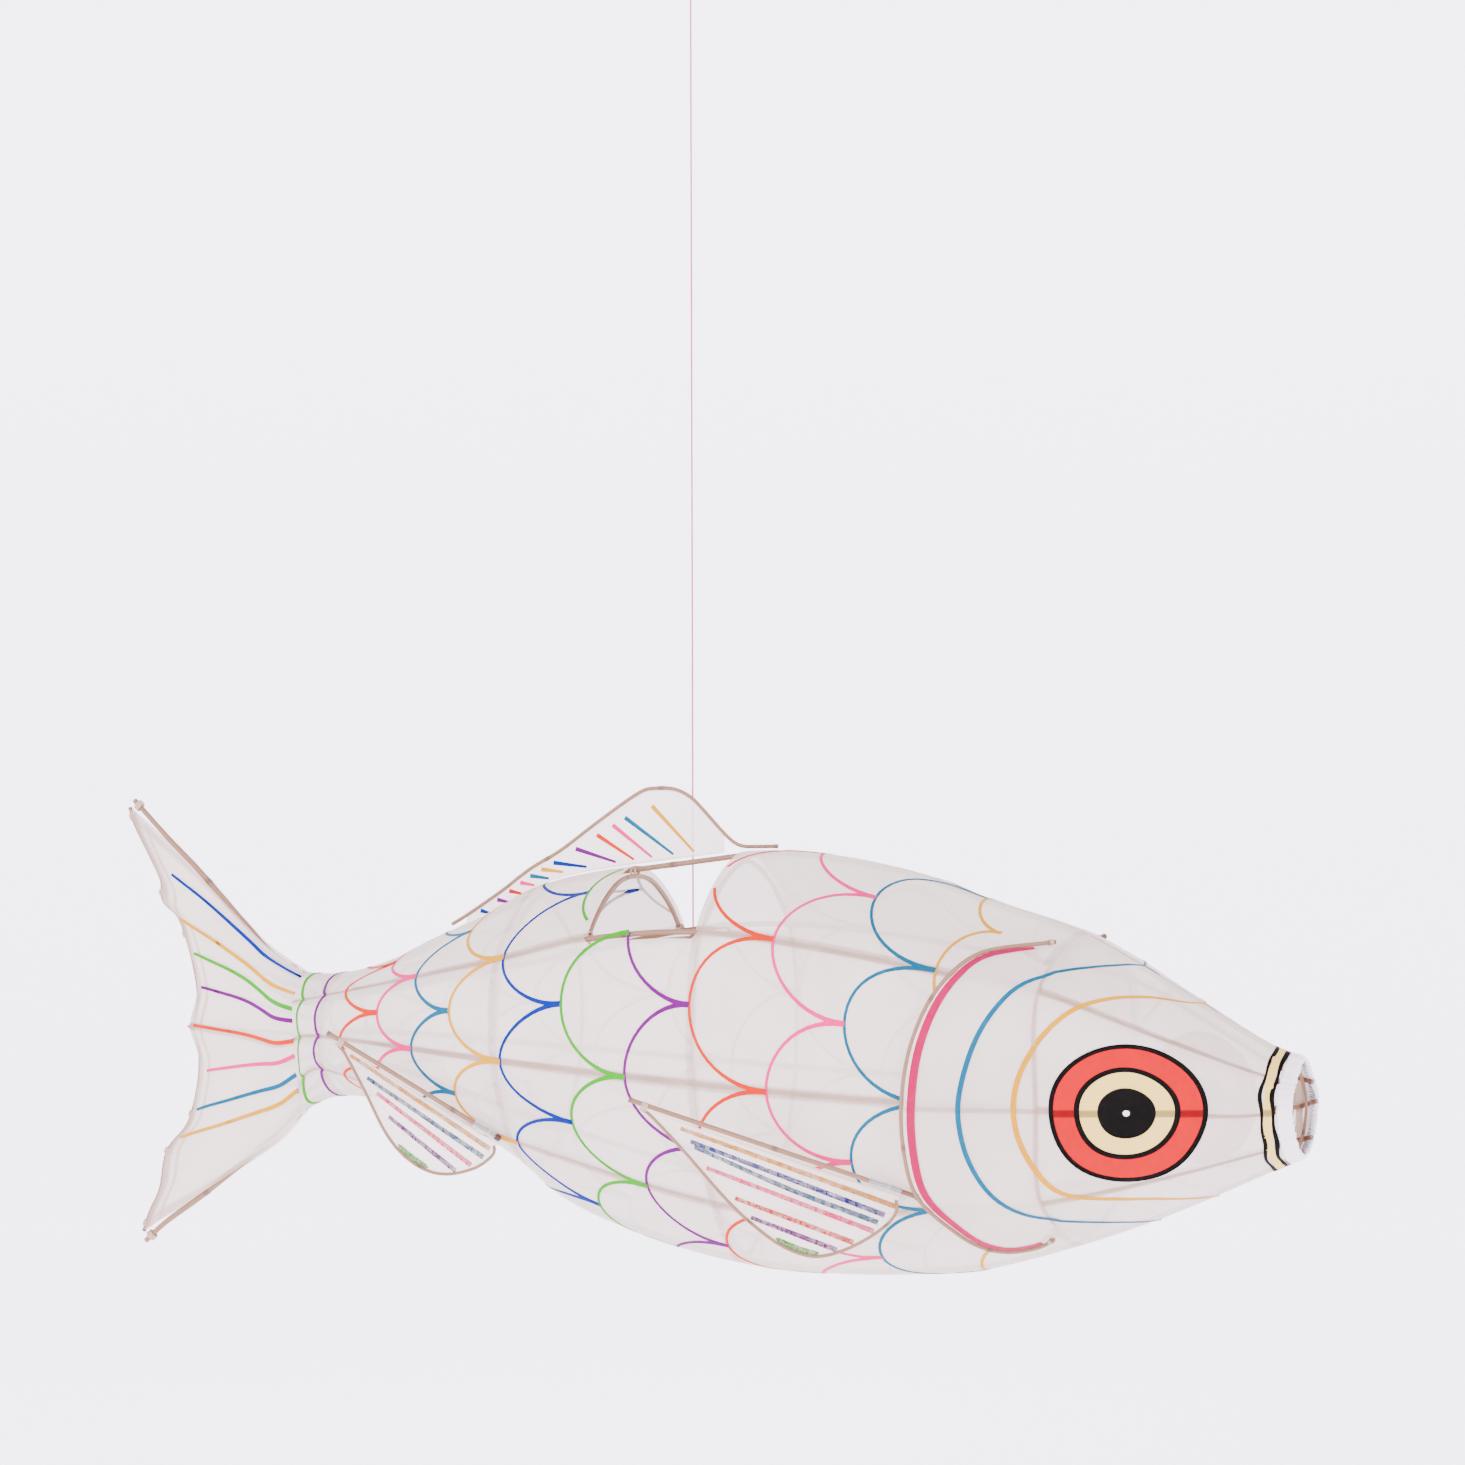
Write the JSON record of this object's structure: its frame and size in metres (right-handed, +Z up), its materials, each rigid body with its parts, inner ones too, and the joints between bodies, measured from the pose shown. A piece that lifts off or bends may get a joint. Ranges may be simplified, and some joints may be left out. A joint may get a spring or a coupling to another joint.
{
  "type": "hanging carp streamer",
  "caption": "Hollow carp of thin silk over bent bamboo hoops and long splints, with turning side fins, hung level on a string tied through a hatch in its back.",
  "frame": {"origin": "top of the hanging ring, where a hook holds it, straight above the centre of mass", "axes": "+X along the fish to its mouth, +Y to the fish's left side, +Z up"},
  "size_m": [1.0328, 0.3578, 1.0537],
  "materials": {
    "bamboo": "split bamboo, matt, pale tan",
    "bare_bamboo": "bare bamboo, brown",
    "silk": "thin translucent off-white silk with painted line work",
    "clear_sleeve": "clear soft tube",
    "string": "twisted pink string",
    "ring_steel": "plain steel ring"
  },
  "bodies": {
    "ring": {"hang_ring": "ring_steel"},
    "loop": {"cord_loop": "string"},
    "cord": {"hanging_cord": "string", "cord_tie": "string"},
    "fish": {"hanging_bar": "bamboo", "top_splint": "bamboo", "right_upper_splint": "bamboo", "right_middle_splint": "bamboo", "right_lower_splint": "bamboo", "bottom_splint": "bamboo", "left_lower_splint": "bamboo", "left_middle_splint": "bamboo", "left_upper_splint": "bamboo", "mouth_hoop": "bamboo", "head_hoop": "bamboo", "trunk_hoop": "bamboo", "rear_hoop": "bamboo", "peduncle_hoop": "bamboo", "hatch_arch": "bamboo", "right_gill_bow": "bamboo", "left_gill_bow": "bamboo", "right_gill_strut": "bamboo", "left_gill_strut": "bamboo", "tail_upper_rod": "bamboo", "tail_lower_rod": "bamboo", "tail_upper_rim": "bamboo", "tail_lower_rim": "bamboo", "tail_middle_rod": "bamboo", "dorsal_rim": "bamboo", "dorsal_membrane": "silk", "front_back_skin": "silk", "rear_back_skin": "silk", "right_side_skin": "silk", "left_side_skin": "silk", "head_skin": "silk", "mouth_lip": "silk", "right_gill_cover": "silk", "left_gill_cover": "silk", "right_tail_skin": "silk", "left_tail_skin": "silk", "right_pectoral_fin_sleeve": "clear_sleeve", "right_pectoral_fin_stub": "bare_bamboo", "left_pectoral_fin_sleeve": "clear_sleeve", "left_pectoral_fin_stub": "bare_bamboo", "right_pelvic_fin_sleeve": "clear_sleeve", "right_pelvic_fin_stub": "bare_bamboo", "left_pelvic_fin_sleeve": "clear_sleeve", "left_pelvic_fin_stub": "bare_bamboo"},
    "right_pectoral_fin": {"right_pectoral_fin_spar": "bamboo", "right_pectoral_fin_rim": "bamboo", "right_pectoral_fin_membrane": "silk"},
    "left_pectoral_fin": {"left_pectoral_fin_spar": "bamboo", "left_pectoral_fin_rim": "bamboo", "left_pectoral_fin_membrane": "silk"},
    "right_pelvic_fin": {"right_pelvic_fin_spar": "bamboo", "right_pelvic_fin_rim": "bamboo", "right_pelvic_fin_membrane": "silk"},
    "left_pelvic_fin": {"left_pelvic_fin_spar": "bamboo", "left_pelvic_fin_rim": "bamboo", "left_pelvic_fin_membrane": "silk"}
  },
  "joints": [
    {"name": "cord_swing", "type": "hinge", "parent": "ring", "child": "loop", "pos_m": [0, 0, -0.019], "axis": [0, 1, 0], "range_deg": [-25, 25]},
    {"name": "cord_turn", "type": "hinge", "parent": "loop", "child": "cord", "pos_m": [0, 0, -0.03], "axis": [0, 0, 1], "continuous": true},
    {"name": "fish_pitch", "type": "hinge", "parent": "cord", "child": "fish", "pos_m": [0, 0, -0.78926], "axis": [0, 1, 0], "range_deg": [-30, 30]},
    {"name": "right_pectoral_turn", "type": "hinge", "parent": "fish", "child": "right_pectoral_fin", "pos_m": [0.234, -0.108, -0.977], "axis": [0.9004, 0.3031, -0.3122], "range_deg": [-60, 15]},
    {"name": "left_pectoral_turn", "type": "hinge", "parent": "fish", "child": "left_pectoral_fin", "pos_m": [0.234, 0.108, -0.977], "axis": [0.9004, -0.3031, -0.3122], "range_deg": [-15, 60]},
    {"name": "right_pelvic_turn", "type": "hinge", "parent": "fish", "child": "right_pelvic_fin", "pos_m": [-0.134, -0.0585, -0.954], "axis": [0.7867, 0.3288, -0.5224], "range_deg": [-60, 10]},
    {"name": "left_pelvic_turn", "type": "hinge", "parent": "fish", "child": "left_pelvic_fin", "pos_m": [-0.134, 0.0585, -0.954], "axis": [0.7867, -0.3288, -0.5224], "range_deg": [-10, 60]}
  ]
}
